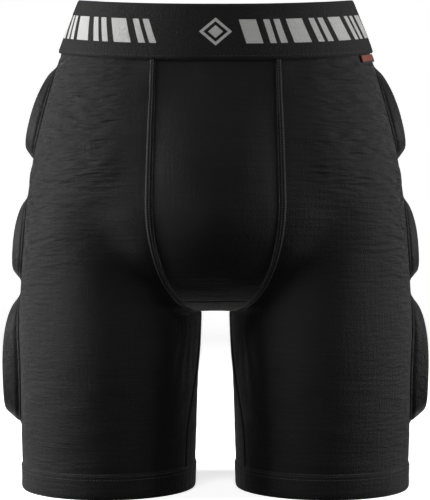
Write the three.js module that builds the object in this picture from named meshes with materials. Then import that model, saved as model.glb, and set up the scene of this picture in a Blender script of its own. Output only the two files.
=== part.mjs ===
// Padded impact shorts for skiing and snowboarding, standing open as they sit on a body.
// Units are millimetres. +Z is up, -Y is the wearer's front and +X is the wearer's left.
// The origin is on the ground under the middle of the shorts, between the two leg hems.
//
// The garment is cut from a front pouch panel, a crotch gusset, a wide seat panel and one wrapped
// panel for each leg, with an elastic waistband and a hem band on each leg. Nine foam pads (three
// down each side, one on each buttock, one on the tailbone) lie under covers sewn on the outside.
import * as THREE from 'three';

// ---- Overall sizes ----
const sideHeight = 460; // hem to the top of the waistband, at the side
const crotchHeight = 165; // hem to the underside of the gusset
const crotchCurve = 100; // height over which the front and seat turn under to the gusset
const outerBlend = 50; // the outer side starts and ends its change of outline this much further off
const bandHeight = 50; // width of the waist elastic
const hemHeight = 23; // height of each leg's hem band
const waistHalfWidth = 127;
const bandFootHalfWidth = 146;
const hipHeight = 300;
const hipHalfWidth = 173.5;
const thighHalfWidth = 185.5;
const hemHalfWidth = 181.5;
const waistDepth = [96, 98]; // front and back half-depths
const bandFootDepth = [101, 107];
const hipDepth = [112, 125];
const crotchDepth = [106, 114];
const thighDepth = [93, 98]; // of one leg, at the crotch
const hemDepth = [84, 84];
const gussetHalfWidth = 14.5;
const hemInnerGap = 20; // centre plane to the inside of each hem
const waistDip = 20; // the waistband's front sits this much under its sides
const waistRise = 12; // and its back this much over them

// ---- Cloth and foam ----
const clothThickness = 1.4;
const elasticThickness = 1.8;
const coverThickness = 1.0;
const seamWidth = 4;
const seamThickness = 0.8;
const seamGap = 0.4; // between edges that are sewn together
const bandOverlap = 8; // the panels run this far up behind the waistband
const inseamForward = 25; // degrees that the inseam sits in front of the inner leg
const inseamDrift = 120; // height over which it gets there, under the gusset

// ---- Panel widths, as half-widths from the centre plane ----
const frontSeam = { top: 53, middle: 56 };
const seatSeam = { top: 100, middle: 118 };
const pouchDepth = 8; // extra fullness of the front panel
const seatFullness = 3;
const gussetReach = 0.3; // share of the crotch curve that the gusset covers, each way

const torsoPower = 2.3; // how square the body's outline is
const riseStart = crotchHeight + crotchCurve;
const bandFoot = sideHeight - bandHeight;
const panelTop = bandFoot + bandOverlap;
const FRONT = 0;
const BACK = 1;

const clamp01 = (x) => Math.min(1, Math.max(0, x));
const ramp = (low, high, x) => THREE.MathUtils.smoothstep(x, low, high);
const mix = THREE.MathUtils.lerp;
const radians = THREE.MathUtils.degToRad;

// A smooth curve through [height, value] knots, level beyond its ends.
function profile(knots) {
  const slope = knots.map((_, i) => {
    const a = knots[Math.max(i - 1, 0)];
    const b = knots[Math.min(i + 1, knots.length - 1)];
    return (b[1] - a[1]) / (b[0] - a[0]);
  });
  return (z) => {
    if (z <= knots[0][0]) return knots[0][1];
    if (z >= knots.at(-1)[0]) return knots.at(-1)[1];
    const i = knots.findIndex((k) => k[0] > z) - 1;
    const span = knots[i + 1][0] - knots[i][0];
    const t = (z - knots[i][0]) / span;
    const rise = knots[i][1] * (2 * t ** 3 - 3 * t ** 2 + 1) + knots[i + 1][1] * (3 * t ** 2 - 2 * t ** 3);
    return rise + span * (slope[i] * (t ** 3 - 2 * t ** 2 + t) + slope[i + 1] * (t ** 3 - t ** 2));
  };
}

const halfWidth = profile([
  [0, hemHalfWidth],
  [crotchHeight * 0.66, thighHalfWidth - 0.7],
  [crotchHeight, thighHalfWidth],
  [hipHeight, hipHalfWidth],
  [bandFoot, bandFootHalfWidth],
  [sideHeight, waistHalfWidth],
]);
const torsoDepth = [FRONT, BACK].map((end) => profile([
  [crotchHeight, crotchDepth[end]],
  [hipHeight, hipDepth[end]],
  [bandFoot, bandFootDepth[end]],
  [sideHeight, waistDepth[end]],
]));
const legDepth = [FRONT, BACK].map((end) => profile([
  [0, hemDepth[end]],
  [crotchHeight, thighDepth[end]],
  [riseStart, thighDepth[end] + 6],
]));
const innerGap = profile([
  [0, hemInnerGap],
  [crotchHeight, gussetHalfWidth],
]);
const panelEdge = [frontSeam, seatSeam].map((seam) => profile([
  [riseStart, seam.middle],
  [panelTop, seam.top],
]));

// ---- The garment's surface ----
// A station runs up the garment: 0 hem, 1 gusset, 2 where the crotch curve starts, 3 waistband top.
function heightAt(station) {
  if (station <= 1) return station * crotchHeight;
  if (station <= 2) return riseStart - crotchCurve * Math.cos((station - 1) * Math.PI / 2);
  return mix(riseStart, sideHeight, station - 2);
}

function stationAt(height) {
  if (height <= crotchHeight) return height / crotchHeight;
  if (height < riseStart) return 1 + Math.acos((riseStart - height) / crotchCurve) * 2 / Math.PI;
  return 2 + (height - riseStart) / (sideHeight - riseStart);
}

// How far the outline has gone from a leg's to the body's: 0 to 1. Beside the strip the cloth turns
// under in a round curve, and towards the outer side it changes slowly over a greater height.
function torsoShare(station, share) {
  const turnedUnder = Math.sin(clamp01(station - 1) * Math.PI / 2);
  const gradual = ramp(crotchHeight - outerBlend, riseStart + outerBlend, heightAt(station));
  return mix(gradual, turnedUnder, ramp(0.4, 1, share) ** 1.5);
}

// The waistline is lower in front and higher behind, fading out down to the crotch curve.
function tilt(point, height) {
  const share = point.y / torsoDepth[point.y < 0 ? FRONT : BACK](height);
  const dip = share * (waistDip + waistRise) / 2 + share * share * (waistRise - waistDip) / 2;
  return point.setZ(height + dip * ramp(riseStart, bandFoot, height));
}

// A point on one leg's panel and the hip above it. around is 0 at the front seam or inseam, 0.5 at
// the outer side and 1 at the seat seam or inseam.
function wrap(around, station) {
  const height = heightAt(station);
  const width = halfWidth(height);
  const end = around < 0.5 ? FRONT : BACK;
  const share = Math.abs(2 * around - 1);
  const edge = Math.acos((panelEdge[end](height) / width) ** (torsoPower / 2));
  const hip = edge * share;
  const sign = end === FRONT ? -1 : 1;
  const torsoX = width * Math.cos(hip) ** (2 / torsoPower);
  const torsoY = sign * torsoDepth[end](height) * Math.sin(hip) ** (2 / torsoPower);
  const forward = radians(inseamForward) * (1 - ramp(crotchHeight - inseamDrift, crotchHeight, height));
  const turn = (sign * Math.PI + forward) * share;
  const inner = innerGap(height);
  const legX = (width + inner) / 2 + (width - inner) / 2 * Math.cos(turn);
  const legY = legDepth[Math.sin(turn) < 0 ? FRONT : BACK](height) * Math.sin(turn);
  const torso = torsoShare(station, share);
  return tilt(new THREE.Vector3(mix(legX, torsoX, torso), mix(legY, torsoY, torso), 0), height);
}

// A point on the strip between the two wrapped panels. along is -2 at the front waist, 0 at the
// gusset and 2 at the back waist; across is -1 at the right seam and 1 at the left.
function strip(along, across) {
  const end = along < 0 ? FRONT : BACK;
  const station = 1 + Math.abs(along);
  const height = heightAt(station);
  const torso = torsoShare(station, 1);
  const edge = panelEdge[end](height);
  const reach = Math.abs(across) * edge / halfWidth(height);
  const body = torsoDepth[end](height) * (1 - reach ** torsoPower) ** (1 / torsoPower);
  const bulge = (1 - ramp(riseStart + 20, panelTop, height)) * torso * (1 - across * across);
  const full = (end === FRONT ? pouchDepth : seatFullness) * bulge;
  const sign = end === FRONT ? -1 : 1;
  const x = across * mix(gussetHalfWidth, edge, torso);
  return tilt(new THREE.Vector3(x, sign * (body * torso + full), 0), height);
}

// The outward normal of a surface function at (a, b), and the point moved along it.
function raised(surface, a, b, lift) {
  const step = 1e-3;
  const alongA = surface(a + step, b).sub(surface(a - step, b));
  const alongB = surface(a, b + step).sub(surface(a, b - step));
  return surface(a, b).addScaledVector(alongA.cross(alongB).normalize(), lift);
}

const onLeg = (around, station, lift) => raised(wrap, around, station, lift);
const onStrip = (along, across, lift) => raised(strip, along, across, lift);

// The waistline as one closed loop: turn 0 and 1 at the centre back, 0.5 at the centre front.
const loopShare = { front: 0.13, seat: 0.25 };
function loop(turn, station) {
  const whole = ((turn % 1) + 1) % 1;
  const fromFront = Math.abs(1 - 2 * whole);
  const side = whole < 0.5 ? -1 : 1;
  const wrapped = 1 - loopShare.front - loopShare.seat;
  let point;
  if (fromFront < loopShare.front) point = strip(1 - station, fromFront / loopShare.front);
  else if (fromFront > 1 - loopShare.seat) point = strip(station - 1, (1 - fromFront) / loopShare.seat);
  else point = wrap((fromFront - loopShare.front) / wrapped, station);
  return point.setX(side * point.x);
}
const onLoop = (turn, station, lift) => raised(loop, turn, station, lift);

// The around value a given distance from the outer side, forward if it is negative.
function aroundAt(station, distance) {
  const steps = 60;
  const heading = 0.5 * Math.sign(distance);
  let last = wrap(0.5, station);
  let used = 0;
  for (let i = 1; i <= steps; i++) {
    const next = wrap(0.5 + heading * i / steps, station);
    const hop = next.distanceTo(last);
    if (used + hop >= Math.abs(distance)) {
      return 0.5 + heading * (i - 1 + (Math.abs(distance) - used) / hop) / steps;
    }
    used += hop;
    last = next;
  }
  return 0.5 + heading;
}

// ---- Solids bent onto the surface ----
function moved(geometry, place) {
  const position = geometry.attributes.position;
  const uv = geometry.attributes.uv;
  for (let i = 0; i < position.count; i++) {
    const from = new THREE.Vector3().fromBufferAttribute(position, i);
    const to = place(from, uv.getX(i), uv.getY(i));
    position.setXYZ(i, to.x, to.y, to.z);
  }
  geometry.deleteAttribute('uv');
  geometry.computeVertexNormals();
  return geometry;
}

// A sheet of cloth: place(a, b, lift) is given a and b from 0 to 1, and the lift of each face.
function sheet(columns, rows, bottom, top, place) {
  const box = new THREE.BoxGeometry(1, 1, 1, columns, rows, 1);
  return moved(box, (p) => place(p.x + 0.5, p.y + 0.5, p.z > 0 ? top : bottom));
}

// A solid turned from a section, closed or from axis to axis: place(turn, ...corner) for each corner.
function turned(columns, section, place) {
  const corners = section.map((_, i) => new THREE.Vector2(1, i));
  const lathe = new THREE.LatheGeometry(corners, columns);
  const last = section.length - 1;
  return moved(lathe, (_, u, v) => place(u % 1, ...section[Math.round(v * last)]));
}

// A band that closes on itself: place(turn, height, lift), with turn and height from 0 to 1.
function ring(columns, rows, bottom, top, place) {
  const outside = Array.from({ length: rows + 1 }, (_, i) => [i / rows, top]);
  const inside = outside.map(([height]) => [1 - height, bottom]);
  return turned(columns, [...outside, ...inside, outside[0]], place);
}

// ---- Materials ----
const finish = (color, roughness) => new THREE.MeshStandardMaterial({ color, roughness, metalness: 0 });
const jersey = finish(0x1c1c1e, 0.8);
const elastic = finish(0x18181a, 0.85);
const coverCloth = finish(0x2a2a2c, 0.85);
const foam = finish(0x3a3a3d, 0.9);
const thread = finish(0x38383a, 0.7);
const labelRed = finish(0xb4532f, 0.8);
const labelWhite = finish(0xd8d8d4, 0.8);

const shorts = new THREE.Group();
const garment = new THREE.Group();
const leftSide = new THREE.Group();
const rightSide = new THREE.Group();
rightSide.scale.x = -1;
shorts.add(garment);
garment.add(leftSide, rightSide);

function add(name, geometry, material, group = garment) {
  const mesh = new THREE.Mesh(geometry, material);
  mesh.name = name;
  group.add(mesh);
}

// The same piece on both sides of the centre plane, the right one mirrored.
function addPair(name, geometry, material) {
  add(`left_${name}`, geometry, material, leftSide);
  add(`right_${name}`, geometry, material, rightSide);
}

// ---- Cloth panels ----
// Panels that are sewn together share the stations of their rows, so that their edges match.
const hemTop = stationAt(hemHeight + seamGap);
const footStation = stationAt(bandFoot);
const waistTop = stationAt(panelTop);
const gussetTop = 1 + gussetReach;
const span = (from, to, count) => Array.from({ length: count + 1 }, (_, i) => mix(from, to, i / count));
const pick = (list, share) => list[Math.round(share * (list.length - 1))];
const gussetRows = span(1, gussetTop, 5);
const bodyRows = [...span(gussetTop, 2, 7), ...span(2, footStation, 7).slice(1), waistTop];
const legRows = [...span(hemTop, 1, 8), ...gussetRows.slice(1), ...bodyRows.slice(1)];

const wrapLength = 480; // round one thigh, which turns a width in millimetres into a share of around
const aroundFor = (width) => width / wrapLength;

const beside = aroundFor(seamGap / 2);
const ridgeWidth = aroundFor(seamWidth);
const middle = span(beside + ridgeWidth, 1 - beside - ridgeWidth, 28);
const legColumns = [beside, ...middle, 1 - beside];

const legPanel = sheet(legColumns.length - 1, legRows.length - 1, -clothThickness, 0, (a, b, lift) =>
  onLeg(pick(legColumns, a), pick(legRows, b), lift));

function stripPanel(columns, alongs) {
  return sheet(columns, alongs.length - 1, -clothThickness, 0, (a, b, lift) => {
    const along = pick(alongs, b);
    const half = Math.abs(strip(along, 1).x);
    return onStrip(along, mix(1, -1, a) * (1 - seamGap / 2 / half), lift);
  });
}

const crossGap = seamGap / 170; // the gap between strip panels, as a share of along
const upBack = [gussetTop + crossGap, ...bodyRows.slice(1)].map((station) => station - 1);
const upFront = upBack.map((along) => -along).reverse();
const across = gussetRows.slice(1).map((station) => station - 1);
addPair('leg_panel', legPanel, jersey);
add('front_pouch_panel', stripPanel(12, upFront), jersey);
add('crotch_gusset', stripPanel(6, [...across.map((along) => -along).reverse(), 0, ...across]), jersey);
add('seat_panel', stripPanel(22, upBack), jersey);

// ---- Waistband and hem bands ----
const bandSeat = 0.7; // the band's inner face stands this far off the panels' outer face
add('waistband_elastic', ring(84, 2, bandSeat, bandSeat + elasticThickness, (turn, height, lift) =>
  onLoop(turn, pick([footStation, waistTop, 3], height), lift)), elastic);

const hemLift = 1.1; // the folded hem stands this much proud of the leg
addPair('hem_band', ring(40, 2, -clothThickness, hemLift, (turn, height, lift) => {
  const point = onLeg(turn, mix(0, stationAt(hemHeight), height), lift);
  return height === 0 ? point.setZ(0) : point;
}), jersey);

// ---- Coverstitched seams, standing on the panels beside each join ----
const seamSeat = 0.65; // off the panel's outer face, as its flat facets dip where the crotch curves
function seamRidge(stations, across) {
  return sheet(1, stations.length - 1, seamSeat, seamSeat + seamThickness, (a, b, lift) =>
    onLeg(across(a), pick(stations, b), lift));
}
const seamTop = stationAt(bandFoot - 1);
const bodySeam = [...bodyRows.filter((station) => station < seamTop - 0.05), seamTop];
const legSeam = legRows.filter((station) => station < 1);
addPair('front_seam', seamRidge(bodySeam, (a) => beside + ridgeWidth * a), thread);
addPair('seat_seam', seamRidge(bodySeam.slice(3), (a) => 1 - beside - ridgeWidth * (1 - a)), thread);
addPair('inseam', seamRidge(legSeam, (a) => (1 + ridgeWidth * (a - 0.5)) % 1), thread);

// ---- Foam pads under sewn covers ----
const padSeat = 0.75; // foam and flange stand this far off the panel, as its facets are flat
const flangeWidth = 3;
const foamInset = 1; // the foam is this much narrower than the pocket under its cover, each way
const foamDrop = 0.8; // and this much thinner
const outlinePower = 2.5; // how square a pad's outline is
const bevelStart = 0.86; // share of the outline where the pad's edge starts to fall away
const sideAt = (share) => mix(hemHeight, bandFoot, share); // 0 at the hem band, 1 at the waistband
const sidePads = {
  hip: { top: sideAt(0.974), bottom: sideAt(0.737), from: -22, to: 80, thickness: 11.5 },
  mid: { top: sideAt(0.659), bottom: sideAt(0.441), from: -24, to: 80, thickness: 9.5 },
  thigh: { top: sideAt(0.417), bottom: sideAt(0.09), from: -28, to: 80, thickness: 16 },
};
const seatPads = {
  buttock: { top: sideAt(0.793), bottom: sideAt(0.52), from: -104, to: -14, thickness: 13 },
  tailbone: { top: sideAt(0.979), bottom: sideAt(0.793), from: -25, to: 25, thickness: 9 },
};

// A side pad's distances run back from the outer side, a seat pad's run right from the centre back.
const onSide = (distance, height, lift) => {
  const station = stationAt(height);
  return onLeg(aroundAt(station, distance), station, lift);
};
const onSeat = (distance, height, lift) => {
  const along = stationAt(height) - 1;
  return onStrip(along, -distance / strip(along, 1).x, lift);
};

// The outline is an egg, narrower at its top. The pad tapers thin to its top and is cut off steeply
// at its bottom. The share is 0 at the pad's middle and 1 at its outline.
function padShape(pad, onto, inset = 0) {
  const middle = [(pad.from + pad.to) / 2, (pad.top + pad.bottom) / 2];
  const half = [(pad.to - pad.from) / 2, (pad.top - pad.bottom) / 2];
  return (turn, share, domed, lift) => {
    const grow = flangeWidth * Math.max(0, share - 1) - inset;
    const reach = Math.min(1, share);
    const angle = turn * 2 * Math.PI;
    const square = (value) => Math.sign(value) * Math.abs(value) ** (2 / outlinePower);
    const up = reach * square(Math.sin(angle));
    const narrow = 1 - 0.13 * (up + 1);
    const out = reach * square(Math.cos(angle));
    const fall = clamp01((reach - bevelStart) / (1 - bevelStart));
    const length = Math.sin(Math.PI / 2 * clamp01(0.1 + (1 - up) / 1.3)) ** 0.75;
    const dome = pad.thickness * length * Math.sqrt(1 - fall * fall) * (1 - 0.1 * reach * reach);
    const distance = middle[0] + out * (narrow * half[0] + grow);
    return onto(distance, middle[1] + up * (half[1] + grow), padSeat + domed * dome + lift);
  };
}

const domeShares = [0, 0.32, 0.62, bevelStart, 0.95, 1];
function addPad(name, pad, onto, pair) {
  const place = padShape(pad, onto);
  const columns = 26;
  const outer = domeShares.map((share) => [share, 1, coverThickness]);
  const inner = domeShares.map((share) => [share, 1, 0]).reverse();
  const flange = [[2, 0, coverThickness], [2, 0, 0]];
  const cover = turned(columns, [...outer, ...flange, ...inner].reverse(), place);
  const foamShares = domeShares.slice(0, -1);
  const foamTop = foamShares.map((share) => [share, 1, -foamDrop]);
  const foamBottom = foamShares.map((share) => [share, 0, 0]).reverse();
  const block = turned(columns, [...foamTop, ...foamBottom].reverse(), padShape(pad, onto, foamInset));
  const put = pair ? addPair : add;
  put(`${name}_pad_cover`, cover, coverCloth);
  put(`${name}_pad_foam`, block, foam);
}
Object.entries(sidePads).forEach(([name, pad]) => addPad(name, pad, onSide, true));
addPad('buttock', seatPads.buttock, onSeat, true);
addPad('tailbone', seatPads.tailbone, onSeat, false);

// ---- Labels, each hanging from the seam at the foot of the waistband ----
const labelGap = 0.5; // between a label and the panel behind its sewn edge
const tagSize = { width: 30, height: 7, thickness: 0.7 };
const tagForward = 42; // from the outer side to the middle of the tag
const careSize = { width: 30, height: 45, thickness: 0.6 };

const tagHeight = bandFoot - 1;
const tagMiddle = onSide(-tagForward, tagHeight, labelGap + tagSize.thickness / 2);
const tagOut = onSide(-tagForward, tagHeight, 1).sub(onSide(-tagForward, tagHeight, 0));
const tagAlong = onSide(-tagForward - 5, tagHeight, 0).sub(onSide(-tagForward + 5, tagHeight, 0)).normalize();
const tagUp = tagAlong.clone().cross(tagOut);
const tagFrame = new THREE.Matrix4().makeBasis(tagAlong.clone().negate(), tagUp, tagOut).setPosition(tagMiddle);
add('left_side_tag', new THREE.BoxGeometry(tagSize.width, tagSize.height, tagSize.thickness)
  .translate(0, -tagSize.height / 2, 0).applyMatrix4(tagFrame), labelRed, leftSide);

const careTop = onStrip(stationAt(bandFoot) - 1, 0, -clothThickness - labelGap - careSize.thickness / 2);
add('care_label', new THREE.BoxGeometry(careSize.width, careSize.thickness, careSize.height)
  .translate(0, careTop.y, careTop.z - careSize.height / 2), labelWhite);

// The origin is under the middle of the whole depth, pads included.
const whole = new THREE.Box3().setFromObject(garment, true);
garment.position.y = -(whole.min.y + whole.max.y) / 2;

export default shorts;
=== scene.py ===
import math

import bmesh
import bpy
import mathutils
import numpy as np
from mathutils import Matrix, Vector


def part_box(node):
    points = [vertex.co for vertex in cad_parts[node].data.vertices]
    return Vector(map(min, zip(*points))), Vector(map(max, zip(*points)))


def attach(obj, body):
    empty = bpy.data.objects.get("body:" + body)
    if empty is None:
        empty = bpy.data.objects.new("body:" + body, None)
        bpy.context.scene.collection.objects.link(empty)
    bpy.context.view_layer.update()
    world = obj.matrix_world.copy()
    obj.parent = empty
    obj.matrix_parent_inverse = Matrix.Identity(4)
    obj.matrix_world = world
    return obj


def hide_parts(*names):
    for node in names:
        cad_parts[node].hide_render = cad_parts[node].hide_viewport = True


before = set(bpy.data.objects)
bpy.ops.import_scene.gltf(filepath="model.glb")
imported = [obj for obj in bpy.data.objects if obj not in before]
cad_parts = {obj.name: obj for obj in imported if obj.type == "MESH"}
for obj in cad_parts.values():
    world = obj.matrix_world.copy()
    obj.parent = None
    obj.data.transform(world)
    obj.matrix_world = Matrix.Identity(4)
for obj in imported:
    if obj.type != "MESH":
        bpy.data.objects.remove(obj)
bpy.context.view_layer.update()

# ---- Leg panels ----
# Each leg is one piece of black stretch jersey, wrapped round the thigh and up over the hip. It is
# sewn to itself down the inseam, to the front pouch in front and to the seat behind.
side_height, crotch_height, crotch_curve, band_height = 0.460, 0.165, 0.100, 0.050
band_foot, rise_start = side_height - band_height, crotch_height + crotch_curve
outer_blend, torso_power = 0.050, 2.3
gusset_half, pouch_depth, seat_fullness = 0.0145, 0.008, 0.003
waist_dip, waist_rise, panel_top = 0.020, 0.012, band_foot + 0.008
jersey_thickness, centring = 0.0014, -0.0102792
FRONT, BACK = 0, 1


def through(*knots):
    """A smooth curve through (height, size) knots, level beyond its ends."""
    at, size = np.array(knots, float).T
    slope = np.gradient(size, at)
    slope[1:-1] = (size[2:] - size[:-2]) / (at[2:] - at[:-2])

    def curve(height):
        height = np.clip(height, at[0], at[-1])
        i = np.clip(np.searchsorted(at, height, side="right") - 1, 0, len(at) - 2)
        span = at[i + 1] - at[i]
        t = (height - at[i]) / span
        rise = size[i] * (2 * t**3 - 3 * t**2 + 1) + size[i + 1] * (3 * t**2 - 2 * t**3)
        return rise + span * (slope[i] * (t**3 - 2 * t**2 + t) + slope[i + 1] * (t**3 - t**2))

    return curve


def ramp(low, high, x):
    t = np.clip((x - low) / (high - low), 0, 1)
    return t * t * (3 - 2 * t)


def mix(a, b, share):
    return a + (b - a) * share


half_width = through((0, 0.1815), (crotch_height * 0.66, 0.1848), (crotch_height, 0.1855),
                     (0.300, 0.1735), (band_foot, 0.146), (side_height, 0.127))
torso_depth = [through((crotch_height, a), (0.300, b), (band_foot, c), (side_height, d))
               for a, b, c, d in ((0.106, 0.112, 0.101, 0.096), (0.114, 0.125, 0.107, 0.098))]
leg_depth = [through((0, 0.084), (crotch_height, deep), (rise_start, deep + 0.006))
             for deep in (0.093, 0.098)]
inner_gap = through((0, 0.020), (crotch_height, gusset_half))
panel_edge = [through((rise_start, middle), (panel_top, top))
              for middle, top in ((0.056, 0.053), (0.118, 0.100))]


def height_at(station):
    """Stations run up the garment: 0 hem, 1 gusset, 2 where the crotch starts to curve, 3 waist."""
    curved = rise_start - crotch_curve * np.cos(np.clip(station - 1, 0, 1) * math.pi / 2)
    upper = rise_start + (station - 2) * (side_height - rise_start)
    return np.where(station <= 1, station * crotch_height, np.where(station <= 2, curved, upper))


def station_at(height):
    curved = 1 + np.arccos(np.clip((rise_start - height) / crotch_curve, -1, 1)) * 2 / math.pi
    upper = 2 + (height - rise_start) / (side_height - rise_start)
    return np.where(height <= crotch_height, height / crotch_height,
                    np.where(height < rise_start, curved, upper))


def torso_share(station, share):
    turned_under = np.sin(np.clip(station - 1, 0, 1) * math.pi / 2)
    gradual = ramp(crotch_height - outer_blend, rise_start + outer_blend, height_at(station))
    return mix(gradual, turned_under, ramp(0.4, 1, share) ** 1.5)


def tilted(x, y, height):
    """The waist is lower in front and higher behind."""
    share = y / np.where(y < 0, torso_depth[FRONT](height), torso_depth[BACK](height))
    dip = share * (waist_dip + waist_rise) / 2 + share * share * (waist_rise - waist_dip) / 2
    risen = height + dip * ramp(rise_start, band_foot, height)
    return np.stack(np.broadcast_arrays(x, y + centring, risen), -1)


def leg_surface(around, station):
    """around is 0 at the front seam or inseam, 0.5 at the outer side and 1 at the back."""
    around, station = np.broadcast_arrays(np.asarray(around, float), np.asarray(station, float))
    height = height_at(station)
    width, front, share = half_width(height), around < 0.5, np.abs(2 * around - 1)
    sign = np.where(front, -1.0, 1.0)
    seam = np.where(front, panel_edge[FRONT](height), panel_edge[BACK](height))
    hip = np.arccos((seam / width) ** (torso_power / 2)) * share
    torso_x = width * np.cos(hip) ** (2 / torso_power)
    deep = np.where(front, torso_depth[FRONT](height), torso_depth[BACK](height))
    torso_y = sign * deep * np.sin(hip) ** (2 / torso_power)
    forward = math.radians(25) * (1 - ramp(crotch_height - 0.120, crotch_height, height))
    turn = (sign * math.pi + forward) * share
    inner = inner_gap(height)
    leg_x = (width + inner) / 2 + (width - inner) / 2 * np.cos(turn)
    leg_deep = np.where(np.sin(turn) < 0, leg_depth[FRONT](height), leg_depth[BACK](height))
    leg_y = leg_deep * np.sin(turn)
    torso = torso_share(station, share)
    return tilted(mix(leg_x, torso_x, torso), mix(leg_y, torso_y, torso), height)


def off(surface, a, b, lift):
    """Points a lift off a surface, measured straight out from the cloth."""
    a, b, lift = np.broadcast_arrays(np.asarray(a, float), np.asarray(b, float), np.asarray(lift, float))
    step = 1e-3
    out = np.cross(surface(a + step, b) - surface(a - step, b),
                   surface(a, b + step) - surface(a, b - step))
    return surface(a, b) + lift[..., None] * out / np.linalg.norm(out, axis=-1, keepdims=True)


def rumple(u, v, size, seed):
    """Soft random unevenness from -1 to 1, with bumps about as large as size = (across, up)."""
    lattice = np.random.default_rng(seed).uniform(-1, 1, (97, 97))
    x, y = (u / size[0]) % 97, (v / size[1]) % 97
    i, j = np.floor(x).astype(int), np.floor(y).astype(int)
    fx, fy = x - i, y - j
    fx, fy = fx * fx * (3 - 2 * fx), fy * fy * (3 - 2 * fy)
    near = mix(lattice[i % 97, j % 97], lattice[(i + 1) % 97, j % 97], fx)
    far = mix(lattice[i % 97, (j + 1) % 97], lattice[(i + 1) % 97, (j + 1) % 97], fx)
    return mix(near, far, fy)


def linked(name, data):
    """A new object in the scene."""
    made = bpy.data.objects.new(name, data)
    bpy.context.scene.collection.objects.link(made)
    return made


def unit(vectors):
    return vectors / np.linalg.norm(vectors, axis=-1, keepdims=True)


def faces_between(index):
    """The four-sided faces between the rows and columns of a grid of point numbers."""
    return np.stack([index[:-1, :-1], index[:-1, 1:], index[1:, 1:], index[1:, :-1]], -1).reshape(-1, 4)


def grid_piece(name, points, uv=None, ring=False, tube=False, flip=False, marks=None):
    """A mesh over rows and columns of points. ring joins the last column to the first, and tube
    joins the last row to the first. Neither caps anything."""
    rows, columns = points.shape[:2]
    index = np.arange(rows * columns).reshape(rows, columns)
    if ring:
        index = np.concatenate([index, index[:, :1]], 1)
    if tube:
        index = np.concatenate([index, index[:1]], 0)
    faces = faces_between(index)
    if flip:
        faces = faces[:, ::-1]
    mesh = bpy.data.meshes.new(name)
    mesh.from_pydata(points.reshape(-1, 3).tolist(), [], faces.tolist())
    if uv is not None:
        layer = mesh.uv_layers.new(name="cloth")
        corners = np.zeros(len(mesh.loops), int)
        mesh.loops.foreach_get("vertex_index", corners)
        layer.data.foreach_set("uv", uv.reshape(-1, 2)[corners].ravel())
    for mark, values in (marks or {}).items():
        mesh.attributes.new(mark, "FLOAT", "POINT").data.foreach_set("value", values.ravel())
    mesh.polygons.foreach_set("use_smooth", [True] * len(mesh.polygons))
    mesh.update()
    return linked(name, mesh)


def mirrored(points):
    return points * np.array([-1.0, 1.0, 1.0])


def give_thickness(piece, thickness):
    wall = piece.modifiers.new("thickness", "SOLIDIFY")
    wall.thickness, wall.offset, wall.use_even_offset = thickness, -1, False


class Amount:
    """One number that changes over a cloth's surface, as a shader socket."""

    def __init__(self, cloth, socket):
        self.cloth, self.socket = cloth, socket

    def _math(self, operation, first, second=0.0):
        return self.cloth.node("ShaderNodeMath", {"operation": operation}, {0: first, 1: second})

    def __add__(self, other): return self._math("ADD", self, other)
    def __radd__(self, other): return self._math("ADD", other, self)
    def __sub__(self, other): return self._math("SUBTRACT", self, other)
    def __rsub__(self, other): return self._math("SUBTRACT", other, self)
    def __mul__(self, other): return self._math("MULTIPLY", self, other)
    def __rmul__(self, other): return self._math("MULTIPLY", other, self)
    def __lt__(self, other): return self._math("LESS_THAN", self, other)
    def __gt__(self, other): return self._math("GREATER_THAN", self, other)
    def __abs__(self): return self._math("ABSOLUTE", self)
    def fraction(self): return self._math("FRACT", self)
    def smaller(self, other): return self._math("MINIMUM", self, other)
    def wave(self): return self._math("SINE", self)


class Cloth:
    """A cloth's material: one Principled shader and the nodes that feed it."""

    def __init__(self, name, roughness, sheen, sheen_roughness=0.5):
        self.material = bpy.data.materials.new(name)
        self.material.use_nodes = True
        self.tree = self.material.node_tree
        self.shader = self.tree.nodes["Principled BSDF"]
        self.shader.inputs["Roughness"].default_value = roughness
        self.shader.inputs["Sheen Weight"].default_value = sheen
        self.shader.inputs["Sheen Roughness"].default_value = sheen_roughness
        self.shader.inputs["Specular IOR Level"].default_value = 0.10

    def node(self, kind, settings=None, sockets=None, output=0):
        made = self.tree.nodes.new(kind)
        for key, value in (settings or {}).items():
            setattr(made, key, value)
        for key, value in (sockets or {}).items():
            if isinstance(value, Amount):
                self.tree.links.new(value.socket, made.inputs[key])
            else:
                made.inputs[key].default_value = value
        return Amount(self, made.outputs[output])

    def feed(self, socket, value):
        self.tree.links.new(value.socket, self.shader.inputs[socket])

    def place(self, scale):
        """The piece's own coordinates, stretched by scale."""
        where = self.node("ShaderNodeTexCoord", output="Object")
        return self.node("ShaderNodeMapping", {}, {"Vector": where, "Scale": scale})

    def noise(self, scale, detail=2.0):
        return self.node("ShaderNodeTexNoise", {"noise_dimensions": "3D"},
                         {"Vector": self.place(scale), "Scale": 1.0, "Detail": detail,
                          "Roughness": 0.6}, "Fac")

    def relief(self, height, distance, strength=1.0):
        self.feed("Normal", self.node("ShaderNodeBump", {}, {"Height": height, "Distance": distance,
                                                             "Strength": strength}, "Normal"))

    def tint(self, low, high, share):
        self.feed("Base Color", self.node("ShaderNodeMix", {"data_type": "RGBA"},
                                          {0: share, 6: (*low, 1), 7: (*high, 1)}, 2))


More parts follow.
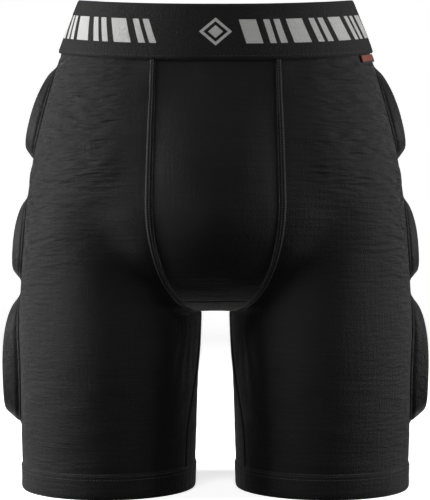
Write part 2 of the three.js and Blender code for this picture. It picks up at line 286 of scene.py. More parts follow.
jersey = Cloth("black stretch jersey", 0.58, 0.24, 0.30)
grain = jersey.noise((950, 950, 950), 2.0)
wales = jersey.noise((420, 420, 26), 1.0)
courses = jersey.noise((30, 30, 420), 1.0)
ripples = jersey.noise((52, 52, 270), 0.8)
puckers = jersey.node("ShaderNodeAttribute", {"attribute_name": "pucker"}, output="Fac")
jersey.relief(grain * 0.45 + wales * 0.16 + courses * 0.22 + ripples * (0.15 + puckers * 4.6), 0.0016)
jersey.tint((0.0030, 0.0030, 0.0032), (0.0135, 0.0135, 0.0142),
            grain * 0.4 + wales * 0.3 + courses * 0.3)

# Each pad's top and bottom heights, its front and back edges as distances back from the outer side,
# and its depth.
side_pads = {
    "hip": (0.400, 0.3082, -0.022, 0.080, 0.0115),
    "mid": (0.278, 0.1935, -0.024, 0.080, 0.0095),
    "thigh": (0.1845, 0.058, -0.028, 0.080, 0.016),
}


def under_band(up):
    """1 just below the waistband, where its elastic gathers the cloth, and 0 elsewhere."""
    fading_down = ramp(band_foot - 0.045, band_foot - 0.006, up)
    return fading_down * (1 - ramp(band_foot - 0.006, band_foot, up))


curved_rows, upper_rows = np.linspace(1, 2, 71), np.linspace(2, float(station_at(panel_top)), 66)
leg_rows = np.concatenate([np.linspace(0.127, 1, 76)[:-1], curved_rows, upper_rows[1:]])
leg_columns = np.linspace(0, 1, 196)
around, station = np.meshgrid(leg_columns, leg_rows)
up = height_at(station)
hops = np.linalg.norm(np.diff(leg_surface(around, station), axis=1), axis=-1)
run = np.concatenate([np.zeros((len(leg_rows), 1)), np.cumsum(hops, 1)], 1)
run -= (run[:, 97:98] + run[:, 98:99]) / 2  # distance back from the outer side

flange_width = 0.003
beside_pads = np.full_like(run, 1.0)
for top, bottom, start, end, _ in side_pads.values():
    beyond = np.maximum(np.maximum(start - flange_width - run, run - end - flange_width),
                        np.maximum(bottom - flange_width - up, up - top - flange_width))
    beside_pads = np.minimum(beside_pads, np.maximum(beyond, 0))
pucker = np.exp(-beside_pads / 0.036) * (0.25 + 0.75 * ramp(0.16, 0.24, up))
front_half = ramp(0.03, 0.12, around) * (1 - ramp(0.5, 0.6, around))
pucker = np.maximum(pucker, 0.45 * ramp(0.24, 0.32, up) * front_half)
broad = rumple(run, up, (0.05, 0.09), 1) * 0.0009 + rumple(run, up, (0.03, 0.018), 2) * 0.0004
cross_folds = rumple(run + up * 0.4, up, (0.035, 0.010), 3) * 0.0003
wandering = up + 0.0008 * rumple(run, up, (0.01, 0.01), 5)
pulled = rumple(run, wandering, (0.022, 0.0036), 6) * 0.0006 * pucker
from_crotch = np.hypot(leg_surface(around, station)[..., 0] - 0.03, up - 0.175)
heading = np.arctan2(up - 0.175, np.abs(run) - 0.24)
radiating = np.sin(heading * 26 + 3 * rumple(run, up, (0.05, 0.05), 4))
crotch_folds = radiating * np.exp(-((from_crotch - 0.05) / 0.035) ** 2) * 0.0003
calm = ramp(0, 0.05, around) * ramp(0, 0.05, 1 - around) * ramp(0, 0.010, beside_pads)
gathers = rumple(run, up, (0.040, 0.0045), 7) * 0.0005 * under_band(up)
lift = (broad + cross_folds + crotch_folds) * calm + (pulled + gathers) * ramp(0, 0.004, beside_pads)
leg_points = off(leg_surface, around, station, lift)
loose = ramp(0, 0.06, around) * ramp(0, 0.06, 1 - around)
loose *= ramp(0.7, 0.85, station) * (1 - ramp(1.45, 1.7, station))
for _ in range(80):  # the cloth rounds the turn at the crotch instead of creasing there
    between = (leg_points[2:] + leg_points[:-2]) / 2
    leg_points[1:-1] += (between - leg_points[1:-1]) * loose[1:-1, :, None] * 0.5
for side, points, flip in (("left", leg_points, False), ("right", mirrored(leg_points), True)):
    panel = grid_piece(f"{side}_leg_cloth", points, np.stack([run, up], -1), flip=flip,
                       marks={"pucker": pucker})
    panel.data.materials.append(jersey.material)
    give_thickness(panel, jersey_thickness)
    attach(panel, "shorts")
    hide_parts(f"{side}_leg_panel")

# ---- Front pouch, crotch gusset and seat ----
# Three pieces of the same jersey run in one strip between the legs: a shaped pouch in front, a narrow
# gusset underneath and a wide seat behind. Each edge is sewn to a leg, with the seam lying on the leg.


def strip_surface(along, across):
    """along is -2 at the front waist, 0 at the gusset and 2 behind; across is -1 right to 1 left."""
    along, across = np.broadcast_arrays(np.asarray(along, float), np.asarray(across, float))
    front, station = along < 0, 1 + np.abs(along)
    height, torso = height_at(station), torso_share(station, 1)
    edge = np.where(front, panel_edge[FRONT](height), panel_edge[BACK](height))
    reach = np.abs(across) * edge / half_width(height)
    deep = np.where(front, torso_depth[FRONT](height), torso_depth[BACK](height))
    body = deep * (1 - reach**torso_power) ** (1 / torso_power)
    bulge = (1 - ramp(rise_start + 0.020, panel_top, height)) * torso * (1 - across * across)
    full = np.where(front, pouch_depth, seat_fullness) * bulge
    sign = np.where(front, -1.0, 1.0)
    return tilted(across * mix(gusset_half, edge, torso), sign * (body * torso + full), height)


curved, upper = curved_rows - 1, upper_rows - 1  # the panels' rows meet at every seam
seat_pads = {  # as side_pads, with distances to the left of the centre back, where left is negative
    "buttock": (0.330, 0.2242, -0.104, -0.014, 0.013),
    "tailbone": (0.4019, 0.3299, -0.025, 0.025, 0.009),
}
gusset_end = 21  # the row where the gusset meets the pouch and the seat
climb = np.concatenate([curved[gusset_end:], upper[1:]])
under = np.concatenate([-curved[gusset_end:0:-1], curved[:gusset_end + 1]])
strip_panels = {
    "front_pouch": ("front_pouch_panel", -climb[::-1], 76, (0.112, 0.30), 0.028),
    "gusset_cloth": ("crotch_gusset", under, 30, (0.062, 0.12), 0.0070),
    "seat_cloth": ("seat_panel", climb, 150, (0.240, 0.31), 0.060),
}
for name, (node, rows, columns, flat, area) in strip_panels.items():
    across, along = np.meshgrid(np.linspace(1, -1, columns), rows)
    up, where = height_at(1 + np.abs(along)), strip_surface(along, across)
    side = where[..., 0]
    edge_gap = strip_surface(along, np.ones_like(along))[..., 0] - np.abs(side)
    lift = rumple(side, up, (0.03, 0.05), 11) * 0.0006 + rumple(side, up, (0.03, 0.008), 12) * 0.00025
    lift += rumple(side, up, (0.035, 0.0045), 13) * 0.0004 * under_band(up)
    lift *= ramp(0, 0.012, edge_gap)
    if node == "seat_panel":
        for top, bottom, left, right, _ in seat_pads.values():
            away = np.maximum(np.maximum(max(-right, 0) - np.abs(side), np.abs(side) + left),
                              np.maximum(bottom - up, up - top))
            lift *= ramp(0, 0.010, away)
    else:
        lift -= 0.0005 * np.exp(-((edge_gap / 0.0016) ** 2))
    panel = grid_piece(name, off(strip_surface, along, across, lift), np.stack([side, up], -1),
                       marks={"pucker": np.zeros_like(side)})
    panel.data.materials.append(jersey.material)
    give_thickness(panel, jersey_thickness)
    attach(panel, "shorts")
    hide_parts(node)

# ---- Hem bands ----
# The leg's own edge is turned up outside by 23 mm, pressed, and coverstitched round its top. It is a
# double ply, so it stands slightly proud of the leg above.
# The section of a hem as (height, lift off the leg), up its outer face and down its inner one.
hem_profile = [(0.0012, 0.0009), (0.0035, 0.0012), (0.0075, 0.0011), (0.0115, 0.0010),
               (0.0155, 0.0011), (0.0185, 0.0009), (0.0200, 0.0011), (0.0220, 0.0011),
               (0.0228, 0.0008), (0.0231, 0.0001), (0.0226, -0.0013), (0.0200, -0.0016),
               (0.0120, -0.0016), (0.0040, -0.0015), (0.0010, -0.0012), (0.0, -0.0007), (0.0, 0.0003)]
hem_heights, hem_lifts = np.array(hem_profile).T
hem_columns, hem_round = 260, 0.52
turn, row = np.meshgrid(np.arange(hem_columns) / hem_columns, np.arange(len(hem_profile)))
up, out = hem_heights[row], hem_lifts[row]
run = turn * hem_round
wavy = rumple(run, up, (0.03, 0.02), 21) * 0.0004 * ramp(0, 0.002, up)
hem_points = off(leg_surface, turn, up / crotch_height, out + wavy * (out > 0))
for side, points, flip in (("left", hem_points, False), ("right", mirrored(hem_points), True)):
    hem = grid_piece(f"{side}_hem", points, np.stack([run, up], -1), ring=True, tube=True, flip=flip)
    hem.data.materials.append(jersey.material)
    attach(hem, "shorts")
    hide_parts(f"{side}_hem_band")

# ---- Waistband ----
# A loop of 50 mm woven elastic, matt black and slightly speckled, stitched over the top edge of the
# panels. Plain grey shapes are woven in: slanted bars and a diamond, repeated round the waist.


def waist_loop(turn, station):
    """turn is 0 at the centre back and 0.5 at the centre front."""
    turn, station = np.broadcast_arrays(np.asarray(turn, float), np.asarray(station, float))
    whole, front, seat = turn % 1, 0.13, 0.25
    from_front = np.abs(1 - 2 * whole)
    at_front = strip_surface(1 - station, np.clip(from_front / front, 0, 1))
    at_back = strip_surface(station - 1, np.clip((1 - from_front) / seat, 0, 1))
    at_side = leg_surface(np.clip((from_front - front) / (1 - front - seat), 0, 1), station)
    point = np.where((from_front < front)[..., None], at_front,
                     np.where((from_front > 1 - seat)[..., None], at_back, at_side))
    point[..., 0] *= np.where(whole < 0.5, -1.0, 1.0)
    return point


elastic = Cloth("black woven elastic", 0.62, 0.06, 0.5)
along = elastic.node("ShaderNodeUVMap", {"uv_map": "cloth"})
split = elastic.node("ShaderNodeSeparateXYZ", {}, {0: along})
u, v = split, Amount(elastic, split.socket.node.outputs[1])
speckle = elastic.noise((620, 620, 620), 3.0)
ribs = (v * (2 * math.pi / 0.0011)).wave() * 0.5 + (u * (2 * math.pi / 0.0009)).wave() * 0.3
jagged_u = u + (v * (2 * math.pi / 0.0009)).wave() * 0.00016
repeat_length, marks_up, bar_pitch = 0.240, 0.0245, 0.0208
repeat = (jagged_u * (1 / repeat_length)).fraction() * repeat_length
leaning = repeat + (v - marks_up) * 0.32
cell = (leaning - 0.0215) * (1 / bar_pitch)
place = cell.fraction()
odd = ((cell - place) * 0.5).fraction() * 2
single = abs(place - 0.46) < 0.36
double = (abs(place - 0.26) < 0.135) + (abs(place - 0.70) < 0.135)
in_row = (cell > 0) * (cell < 8) * (abs(v - marks_up) < 0.0107)
bars = mix(single, double, odd) * in_row
from_badge = abs(repeat - (repeat > repeat_length / 2) * repeat_length)
diamond = from_badge * (1 / 0.0145) + abs(v - marks_up) * (1 / 0.0125)
badge = (diamond < 1) * (diamond > 0.74) + (diamond < 0.46)
woven = (bars + badge).smaller(1)
elastic.relief(ribs * 0.15 + speckle * 1.5 + woven * 0.5, 0.0008)
shade = (woven * (0.86 + ribs * 0.10)).smaller(1)
black = elastic.node("ShaderNodeMix", {"data_type": "RGBA"},
                     {0: speckle, 6: (0.0005, 0.0005, 0.0005, 1), 7: (0.015, 0.015, 0.0155, 1)}, 2)
elastic.feed("Base Color", elastic.node("ShaderNodeMix", {"data_type": "RGBA"},
                                        {0: shade, 6: black, 7: (0.52, 0.52, 0.51, 1)}, 2))

band_profile = [(0.0, 0.0013), (0.0009, 0.0024), (0.0022, 0.0026)]
band_profile += [(height, 0.0027) for height in np.linspace(0.004, 0.046, 12)]
band_profile += [(0.0480, 0.0026), (0.0493, 0.0021), (0.0500, 0.0010), (0.0497, 0.0), (0.0485, -0.0004),
                 (0.040, -0.0003), (0.020, 0.0003), (0.004, 0.0005), (0.0005, 0.0007)]
band_heights, band_lifts = np.array(band_profile).T
band_columns = 420
turn, row = np.meshgrid(np.arange(band_columns) / band_columns, np.arange(len(band_profile)))
up, out = band_heights[row], band_lifts[row]
station = station_at(band_foot + up)
points = waist_loop(turn, station)
hop = np.linalg.norm(np.roll(points, -1, 1) - points, axis=-1)[12]
round_waist = np.concatenate([[0], np.cumsum(hop)])
scallop = np.abs(np.sin(round_waist[:-1] * math.pi / 0.0055)) * 0.0005 * np.exp(-up / 0.003)
wavy = rumple(round_waist[:-1], up, (0.05, 0.06), 31) * 0.0003
band_points = off(waist_loop, turn, station, out + (scallop + wavy) * (out > 0.001))
band = grid_piece("waistband", band_points, ring=True, tube=True)
from_front = round_waist - round_waist[band_columns // 2]
face_heights = np.where(band_lifts > 0.0009, band_heights, -band_heights)  # the inside has no marks
uv = np.zeros((len(band_profile), band_columns, 4, 2))
for corner, (above, ahead) in enumerate(((0, 0), (0, 1), (1, 1), (1, 0))):
    uv[:, :, corner, 0] = from_front[ahead:band_columns + ahead]
    uv[:, :, corner, 1] = np.roll(face_heights, -above)[:, None]
band.data.uv_layers.new(name="cloth").data.foreach_set("uv", uv.ravel())
band.data.materials.append(elastic.material)
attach(band, "shorts")
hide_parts("waistband_elastic")

# ---- Coverstitched seams ----
# The seams lie on the leg side of each join as a soft raised ridge, about 4 mm wide at the thigh. The
# front and seat seams run from the waistband to the gusset, and an inseam runs down to each hem.
seam_profile = np.array([0.0, 0.00075, 0.00115, 0.00125, 0.0010, 0.00095, 0.0011, 0.0009, 0.0004, 0.0])
ridge = 0.0062 / 0.48
rising = station_at(np.linspace(crotch_height + 0.0002, band_foot + 0.001, 170))
seams = {
    "front_seam": (rising, 0.0, ridge),
    "seat_seam": (rising, 1.0, 1 - ridge),
    "inseam": (np.linspace(0.0225, crotch_height + 0.0018, 90) / crotch_height, -ridge / 2, ridge / 2),
}
for name, (stations, start, end) in seams.items():
    share, station = np.meshgrid(np.linspace(0, 1, len(seam_profile)), stations)
    around = mix(start, end, share)
    bumpy = 1 + 0.12 * np.sin(height_at(station) * 2 * math.pi / 0.0029)
    lift = np.broadcast_to(seam_profile, share.shape) * bumpy
    points = off(leg_surface, around, station, lift)
    backward = start > end
    for side in ("left", "right"):
        placed = points if side == "left" else mirrored(points)
        seam = grid_piece(f"{side}_{name}_ridge", placed, flip=backward != (side == "right"))
        seam.data.materials.append(jersey.material)
        give_thickness(seam, 0.0006)
        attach(seam, "shorts")
        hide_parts(f"{side}_{name}")

# ---- Foam pads ----
# Nine blocks of soft foam, each held in a pocket under a stretch cover. A cover tapers thin to its top,
# has a crisp bevelled edge, and is sewn down through a narrow flange by two rows of stitches.
cover = Cloth("black cover cloth", 0.55, 0.26, 0.30)
knit = cover.noise((650, 650, 650), 3.0)
mottle = cover.noise((60, 60, 60), 2.0)
crumples = cover.noise((170, 170, 240), 2.0)
cover.relief(knit * 0.6 + mottle * 0.4 + crumples * 1.2, 0.0009)
cover.tint((0.006, 0.006, 0.0065), (0.013, 0.013, 0.014), knit * 0.7 + mottle * 0.3)

outline_power, bevel_start, pad_seat, most_swell = 2.5, 0.84, 0.0007, 0.0018


def around_at(station, distance):
    """The around value at a distance back from the outer side, or forward if it is negative."""
    heading = 0.5 * np.sign(distance)[..., None]
    path = leg_surface(0.5 + heading * np.arange(61) / 60, station[..., None])
    hop = np.linalg.norm(np.diff(path, axis=-2), axis=-1)
    used = np.concatenate([np.zeros(hop.shape[:-1] + (1,)), np.cumsum(hop, -1)], -1)
    i = np.clip((used <= np.abs(distance)[..., None]).sum(-1) - 1, 0, 59)[..., None]
    before = np.take_along_axis(used, i, -1)[..., 0]
    length = np.take_along_axis(hop, i, -1)[..., 0]
    return 0.5 + heading[..., 0] * (i[..., 0] + (np.abs(distance) - before) / length) / 60


def on_side(distance, height, lift):
    station = station_at(height)
    return off(leg_surface, around_at(station, distance), station, lift)


def on_seat(distance, height, lift):
    along = station_at(height) - 1
    return off(strip_surface, along, -distance / strip_surface(along, 1)[..., 0], lift)


def pad_place(pad, p, q, grow=0.0):
    """Where a point (p, q) of a square from -1 to 1 falls on a pad's egg-shaped outline."""
    top, bottom, start, end, _ = pad
    far = np.maximum(np.abs(p), np.abs(q))
    length = (np.abs(p) ** outline_power + np.abs(q) ** outline_power) ** (1 / outline_power)
    rounded = far / np.maximum(length, 1e-9)
    reach = np.minimum(1, far)
    out = rounded * p * reach / np.maximum(far, 1e-9)
    up = rounded * q * reach / np.maximum(far, 1e-9)
    wider = grow + flange_width * np.maximum(0, far - 1)
    distance = (start + end) / 2 + out * ((1 - 0.13 * (up + 1)) * (end - start) / 2 + wider)
    height = (top + bottom) / 2 + up * ((top - bottom) / 2 + wider)
    return distance, height, reach, up


inner_knots = np.linspace(0, bevel_start, 17)
edge_knots = np.array([0.865, 0.89, 0.915, 0.94, 0.962, 0.98, 0.992, 1.0])
knots = np.concatenate([inner_knots, edge_knots, [1.25, 1.5, 1.75, 2.0]])
knots = np.concatenate([-knots[:0:-1], knots])
p, q = np.meshgrid(knots, knots)


def turned_out(mesh):
    """Fills a skin's open ends, if it has any, and turns its faces outwards."""
    shape = bmesh.new()
    shape.from_mesh(mesh)
    bmesh.ops.holes_fill(shape, edges=[edge for edge in shape.edges if edge.is_boundary])
    bmesh.ops.recalc_face_normals(shape, faces=shape.faces)
    shape.to_mesh(mesh)
    shape.free()


def pad_cover(name, pad, onto):
    """A cover as one closed cloth skin: its dome, bevel and flange outside, and a plain back."""
    distance, height, reach, up = pad_place(pad, p, q)
    drop = np.clip((reach - bevel_start) / (0.985 - bevel_start), 0, 1)
    bevel = np.where(drop < 1, 1 - 0.74 * drop, 0.26 * np.sqrt(np.clip((1 - reach) / 0.015, 0, 1)))
    taper = np.sin(math.pi / 2 * np.clip(0.1 + (1 - up) / 1.3, 0, 1)) ** 0.75
    dome = (pad[4] - 0.0006) * taper * bevel * (1 - 0.08 * reach * reach)
    far = np.maximum(np.abs(p), np.abs(q))
    flange = 0.0010 - 0.00035 * np.exp(-(((far - 1.10) / 0.14) ** 2)) - 0.0009 * ramp(1.8, 2.0, far)
    front = onto(distance, height, pad_seat + dome + np.where(far < 1, 0.0010, flange))
    back = onto(distance, height, np.full_like(distance, 0.0002))
    count = len(knots)
    index = np.arange(count * count).reshape(count, count)
    border = np.concatenate([index[0, :-1], index[:-1, -1], index[-1, :0:-1], index[:0:-1, 0]])
    behind = index + count * count
    ahead = np.roll(border, -1)
    walls = np.stack([ahead, border, behind.ravel()[border], behind.ravel()[ahead]], -1)
    points = np.concatenate([front.reshape(-1, 3), back.reshape(-1, 3)])
    faces = np.concatenate([faces_between(index), faces_between(behind)[:, ::-1], walls])
    mesh = bpy.data.meshes.new(name)
    mesh.from_pydata(points.tolist(), [], faces.tolist())
    mesh.polygons.foreach_set("use_smooth", [True] * len(mesh.polygons))
    turned_out(mesh)
    loose = np.flatnonzero(np.concatenate([(far < 0.97).ravel(), np.zeros(count * count, bool)]))
    return linked(name, mesh), loose, points


def swollen(covers):
    """Lets the foam press each cover outwards as cloth, with its flange and back held still."""
    for piece, loose, rest in covers:
        held = piece.vertex_groups.new(name="held")
        held.add(np.setdiff1d(np.arange(len(rest)), loose).tolist(), 1.0, "REPLACE")
        cloth = piece.modifiers.new("foam", "CLOTH")
        cloth.settings.quality = 5
        cloth.settings.mass = 0.3
        cloth.settings.tension_stiffness = cloth.settings.compression_stiffness = 15
        cloth.settings.bending_stiffness = 0.6
        cloth.settings.vertex_group_mass = "held"
        cloth.settings.use_pressure = True
        cloth.settings.uniform_pressure_force = 4
        cloth.settings.effector_weights.gravity = 0
        cloth.point_cache.frame_start, cloth.point_cache.frame_end = 1, 20
    for frame_number in range(1, 21):
        bpy.context.scene.frame_set(frame_number)
    graph = bpy.context.evaluated_depsgraph_get()
    for piece, loose, rest in covers:
        moved = np.zeros(len(rest) * 3)
        piece.evaluated_get(graph).data.vertices.foreach_get("co", moved)
        step = np.nan_to_num(moved.reshape(-1, 3) - rest)
        size = np.linalg.norm(step, axis=1, keepdims=True)
        step *= np.minimum(1, most_swell / np.maximum(size, 1e-9))
        still = np.ones(len(rest), bool)
        still[loose] = False
        step[still] = 0
        piece.modifiers.clear()
        piece.vertex_groups.clear()
        piece.data.vertices.foreach_set("co", (rest + step).ravel())
        piece.data.update()
    bpy.context.scene.frame_set(1)


made = {}
for name, pad in side_pads.items():
    made[f"left_{name}"] = pad_cover(f"left_{name}_pad", pad, on_side)
made["left_buttock"] = pad_cover("left_buttock_pad", seat_pads["buttock"], on_seat)
made["tailbone"] = pad_cover("tailbone_pad", seat_pads["tailbone"], on_seat)
swollen(list(made.values()))
for name, (piece, _, _) in made.items():
    pair = [(name, piece)]
    if name.startswith("left_"):
        other = linked(piece.name.replace("left", "right"), piece.data.copy())
        for point in other.data.vertices:
            point.co.x = -point.co.x
        other.data.flip_normals()
        other.data.update()
        pair.append((name.replace("left", "right"), other))
    for title, pocket in pair:
        pocket.data.materials.append(cover.material)
        fine = pocket.modifiers.new("fine", "SUBSURF")
        fine.levels = fine.render_levels = 1
        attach(pocket, "shorts")
        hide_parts(f"{title}_pad_cover", f"{title}_pad_foam")

# ---- Stitches ----
# Machine stitches in a slightly paler black thread: two rows round every pad and hem, two along each
# seam, and one under the foot of the waistband. Each stitch is a short oval that lies along its row.
stitch_thread = Cloth("dark grey stitching thread", 0.5, 0.06, 0.4)
stitch_thread.tint((0.035, 0.035, 0.036), (0.110, 0.110, 0.113),
                   stitch_thread.noise((260, 260, 260), 1.0))


def stitch_tree():
    tree = bpy.data.node_groups.new("rows of stitches", "GeometryNodeTree")
    tree.interface.new_socket("Rows", in_out="INPUT", socket_type="NodeSocketGeometry")
    for label in ("Pitch", "Length", "Width", "Height"):
        tree.interface.new_socket(label, in_out="INPUT", socket_type="NodeSocketFloat")
    tree.interface.new_socket("Thread", in_out="INPUT", socket_type="NodeSocketMaterial")
    tree.interface.new_socket("Stitches", in_out="OUTPUT", socket_type="NodeSocketGeometry")

    def node(kind, settings, sockets):
        made = tree.nodes.new(kind)
        for key, value in settings.items():
            setattr(made, key, value)
        for key, value in sockets.items():
            if isinstance(value, bpy.types.NodeSocket):
                tree.links.new(value, made.inputs[key])
            else:
                made.inputs[key].default_value = value
        return made

    sizes = node("NodeGroupInput", {}, {}).outputs
    rows = node("GeometryNodeMeshToCurve", {}, {"Mesh": sizes["Rows"]}).outputs[0]
    spaced = node("GeometryNodeResampleCurve", {"mode": "LENGTH"},
                  {"Curve": rows, "Length": sizes["Pitch"]}).outputs[0]
    out = node("GeometryNodeInputNamedAttribute", {"data_type": "FLOAT_VECTOR"},
               {"Name": "out"}).outputs[0]
    tangent = node("GeometryNodeInputTangent", {}, {}).outputs[0]
    turn = node("FunctionNodeAxesToRotation", {"primary_axis": "Z", "secondary_axis": "X"},
                {"Primary Axis": out, "Secondary Axis": tangent}).outputs[0]
    oval = node("GeometryNodeMeshUVSphere", {}, {"Segments": 6, "Rings": 4, "Radius": 0.5}).outputs[0]
    size = node("ShaderNodeCombineXYZ", {},
                {"X": sizes["Length"], "Y": sizes["Width"], "Z": sizes["Height"]}).outputs[0]
    placed = node("GeometryNodeInstanceOnPoints", {},
                  {"Points": spaced, "Instance": oval, "Rotation": turn, "Scale": size}).outputs[0]
    plain = node("GeometryNodeRealizeInstances", {}, {"Geometry": placed}).outputs[0]
    smooth = node("GeometryNodeSetShadeSmooth", {}, {"Geometry": plain}).outputs[0]
    done = node("GeometryNodeSetMaterial", {},
                {"Geometry": smooth, "Material": sizes["Thread"]}).outputs[0]
    node("NodeGroupOutput", {}, {"Stitches": done})
    return tree


def stitched(name, rows, pitch, length, width):
    """One mesh of stitches along rows, each a pair of points and outward directions."""
    places, outs, edges, start = [], [], [], 0
    for points, out in rows:
        places.append(points)
        outs.append(out)
        edges += [(start + i, start + i + 1) for i in range(len(points) - 1)]
        start += len(points)
    mesh = bpy.data.meshes.new(name + " rows")
    mesh.from_pydata(np.concatenate(places).tolist(), edges, [])
    outward = mesh.attributes.new("out", "FLOAT_VECTOR", "POINT")
    outward.data.foreach_set("vector", np.concatenate(outs).ravel())
    guide = linked(name + " rows", mesh)
    sewn = guide.modifiers.new("stitches", "NODES")
    sewn.node_group = tree
    wanted = {"Pitch": pitch, "Length": length, "Width": width, "Height": width * 0.8,
              "Thread": stitch_thread.material}
    for item in tree.interface.items_tree:
        if item.item_type == "SOCKET" and item.name in wanted:
            sewn[item.identifier] = wanted[item.name]
    graph = bpy.context.evaluated_depsgraph_get()
    plain = bpy.data.meshes.new_from_object(guide.evaluated_get(graph))
    bpy.data.objects.remove(guide)
    piece = linked(name, plain)
    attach(piece, "shorts")
    return piece


def row_on(surface, a, b, lift):
    """Points along a row at a lift off the surface, with the outward direction at each."""
    points = off(surface, a, b, lift)
    return points, unit(points - off(surface, a, b, np.asarray(lift) - 0.001))


def both_sides(rows):
    return rows + [(mirrored(points), mirrored(out)) for points, out in rows]


tree = stitch_tree()
hem_rows = []
for up in (0.0180, 0.0212):
    hem_rows.append(row_on(leg_surface, np.linspace(0, 1, 260), np.full(260, up / crotch_height),
                           0.00115))
stitched("hem_stitches", both_sides(hem_rows), 0.0030, 0.0023, 0.00055)

seam_rows = []
for name, (stations, start, end) in seams.items():
    for share in (0.30, 0.74):
        beside = np.full(len(stations), mix(start, end, share))
        seam_rows.append(row_on(leg_surface, beside, stations, 0.0015))
stitched("seam_stitches", both_sides(seam_rows), 0.0024, 0.0014, 0.0009)

turn = np.linspace(0, 1, 600)
foot_row = row_on(waist_loop, turn, np.full(600, float(station_at(band_foot + 0.0028))), 0.0028)
stitched("waistband_stitches", [foot_row], 0.0036, 0.0016, 0.0005)

turn = np.linspace(0, 2 * math.pi, 240)
ring_p, ring_q = np.cos(turn), np.sin(turn)
widest = np.maximum(np.abs(ring_p), np.abs(ring_q))
side_rows, middle_rows = [], []
sewn_pads = [(pad, on_side, side_rows) for pad in side_pads.values()]
sewn_pads += [(seat_pads["buttock"], on_seat, side_rows), (seat_pads["tailbone"], on_seat, middle_rows)]
for pad, onto, rows in sewn_pads:
    for share in (1.16, 1.74):
        distance, height, _, _ = pad_place(pad, ring_p / widest * share, ring_q / widest * share)
        points = onto(distance, height, np.full(240, pad_seat + 0.00105))
        rows.append((points, unit(points - onto(distance, height, np.full(240, pad_seat)))))
stitched("pad_stitches", both_sides(side_rows) + middle_rows, 0.0028, 0.0021, 0.00048)

# ---- Side tag ----
# A folded strip of orange-red ribbon, sewn in under the foot of the waistband on the wearer's left. Its
# near end and its fold are bound in black.
tag = Cloth("orange-red woven ribbon", 0.7, 0.3, 0.4)
tag_split = tag.node("ShaderNodeSeparateXYZ", {}, {0: tag.node("ShaderNodeUVMap", {"uv_map": "cloth"})})
tag_u, tag_v = tag_split, Amount(tag, tag_split.socket.node.outputs[1])
weft = (tag_v * (2 * math.pi / 0.0008)).wave() * 0.5 + (tag_u * (2 * math.pi / 0.0011)).wave() * 0.3
bound = ((tag_u > 0.0118) + (tag_v < -0.0052)).smaller(1)
tag.relief(weft, 0.0002)
tag.tint((0.20, 0.038, 0.016), (0.012, 0.010, 0.010), bound)

tag_height, tag_forward, tag_thickness = band_foot - 0.001, 0.042, 0.0007


def tag_spot(forward, lift):
    """One point on the leg at the tag's height, forward of the outer side and off the cloth."""
    return on_side(np.array([-forward]), np.array([tag_height]), np.array([lift]))[0]


tag_middle = tag_spot(tag_forward, 0.0005 + tag_thickness / 2)
tag_out = unit(tag_spot(tag_forward, 0.001) - tag_spot(tag_forward, 0.0))
tag_along = unit(tag_spot(tag_forward + 0.005, 0.0) - tag_spot(tag_forward - 0.005, 0.0))
tag_up = np.cross(tag_along, tag_out)
half_ply = tag_thickness / 2
tag_section = [(0.0006, half_ply), (-0.0020, half_ply + 0.00005), (-0.0045, half_ply + 0.0001),
               (-0.0063, half_ply), (-0.0069, 0.0), (-0.0063, -half_ply), (-0.0020, -half_ply),
               (0.0006, -half_ply)]
down, lift = np.array(tag_section).T
across, row = np.meshgrid(np.linspace(0.015, -0.015, 31), np.arange(len(tag_section)))
curl = 0.0003 * np.sin(across * 120) * (-down[row] / 0.007)
tag_points = (tag_middle - across[..., None] * tag_along + down[row][..., None] * tag_up
              + (lift[row] + curl)[..., None] * tag_out)
side_tag = grid_piece("side_tag_ribbon", tag_points, np.stack([across, down[row]], -1), tube=True)
turned_out(side_tag.data)
side_tag.data.materials.append(tag.material)
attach(side_tag, "side_tag")
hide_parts("left_side_tag")

# ---- Care label ----
# An off-white woven label, 30 mm wide and 45 mm long, plain on both faces. It is sewn in at its top
# edge and hangs inside the centre back from the band's foot.
label_cloth = Cloth("off-white woven label", 0.75, 0.2, 0.5)
satin = label_cloth.noise((300, 300, 1800), 2.0)
label_cloth.relief(satin, 0.0002)
label_cloth.tint((0.56, 0.56, 0.53), (0.70, 0.70, 0.67), satin)
label_low, label_high = (np.array(corner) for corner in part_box("care_label"))
across, drop = np.meshgrid(np.linspace(-0.015, 0.015, 25), np.linspace(0, 0.045, 37))
deep = (label_low[1] + label_high[1]) / 2
bow = 0.0004 * np.sin(drop * 90) * np.cos(across * 70) * ramp(0, 0.01, drop)
label_points = np.stack([across, deep - 0.0003 - bow, label_high[2] - drop], -1)
care = grid_piece("care_label_ribbon", label_points)
wall = care.modifiers.new("thickness", "SOLIDIFY")
wall.thickness, wall.offset = 0.0004, 0
care.data.materials.append(label_cloth.material)
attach(care, "label")
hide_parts("care_label")

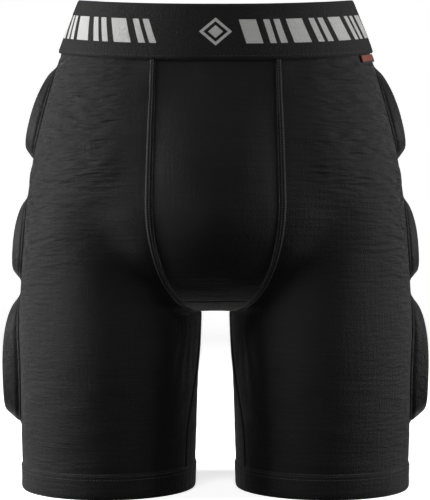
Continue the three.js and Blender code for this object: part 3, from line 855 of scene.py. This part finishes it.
# ---- Stage ----
# The shorts stand on a plain white floor that curves up into a wall behind. Two tall soft lights at the
# sides, one high in front and a weak one low in front light them evenly.
paper = bpy.data.materials.new("white paper")
paper.use_nodes = True
for label, value in (("Base Color", (0.93, 0.93, 0.93, 1)), ("Roughness", 0.9),
                     ("Emission Color", (1, 1, 1, 1)), ("Emission Strength", 0.74)):
    paper.node_tree.nodes["Principled BSDF"].inputs[label].default_value = value
arc = [(2.2 + 0.8 * math.sin(t), 0.8 - 0.8 * math.cos(t)) for t in np.linspace(0, math.pi / 2, 17)]
section = np.array([(-3.2, 0.0)] + arc + [(3.0, 3.2)])
sweep, row = np.meshgrid(np.linspace(-4, 4, 3), np.arange(len(section)))
floor = grid_piece("floor", np.stack([sweep, section[row, 0], section[row, 1]], -1))
floor.data.materials.append(paper)
floor.visible_diffuse = floor.visible_glossy = False

world = bpy.data.worlds.new("studio")
bpy.context.scene.world = world
world.use_nodes = True
sky = world.node_tree
facing = sky.nodes.new("ShaderNodeSeparateXYZ")
sky.links.new(sky.nodes.new("ShaderNodeTexCoord").outputs["Generated"], facing.inputs[0])
strength = sky.nodes.new("ShaderNodeMath")
strength.operation = "MULTIPLY"
for way, (low, high, dim, bright) in enumerate(((-0.4, 0.8, 0.52, 1.25), (-0.6, 0.9, 0.80, 1.15))):
    spread = sky.nodes.new("ShaderNodeMapRange")
    for label, value in (("From Min", low), ("From Max", high), ("To Min", dim), ("To Max", bright)):
        spread.inputs[label].default_value = value
    sky.links.new(facing.outputs[way + 1], spread.inputs["Value"])
    sky.links.new(spread.outputs[0], strength.inputs[way])
sky.links.new(strength.outputs[0], sky.nodes["Background"].inputs["Strength"])
bpy.context.scene.view_settings.view_transform = "Standard"


def soft_light(name, place, aim, size, power):
    lamp = bpy.data.lights.new(name, "AREA")
    lamp.shape, lamp.size, lamp.size_y, lamp.energy = "RECTANGLE", size[0], size[1], power
    holder = linked(name, lamp)
    holder.location = place
    toward = mathutils.Vector(aim) - mathutils.Vector(place)
    holder.rotation_euler = toward.to_track_quat("-Z", "Y").to_euler()


soft_light("left strip", (-1.5, -0.10, 0.45), (0, 0, 0.18), (0.5, 1.4), 50)
soft_light("right strip", (1.6, -0.05, 0.45), (0, 0, 0.18), (0.5, 1.4), 31)
soft_light("high front", (-0.3, -1.5, 2.3), (0, 0, 0.3), (0.8, 0.4), 17)
soft_light("low front", (0, -1.3, 0.12), (0, 0, 0.22), (1.0, 0.2), 3.5)

eye = bpy.data.cameras.new("camera")
eye.lens, eye.sensor_width = 100.8, 36
camera = linked("camera", eye)
camera.location = (-0.0005, -1.330 + centring, 0.223)
camera.rotation_euler = (math.pi / 2, 0, 0)
bpy.context.scene.camera = camera
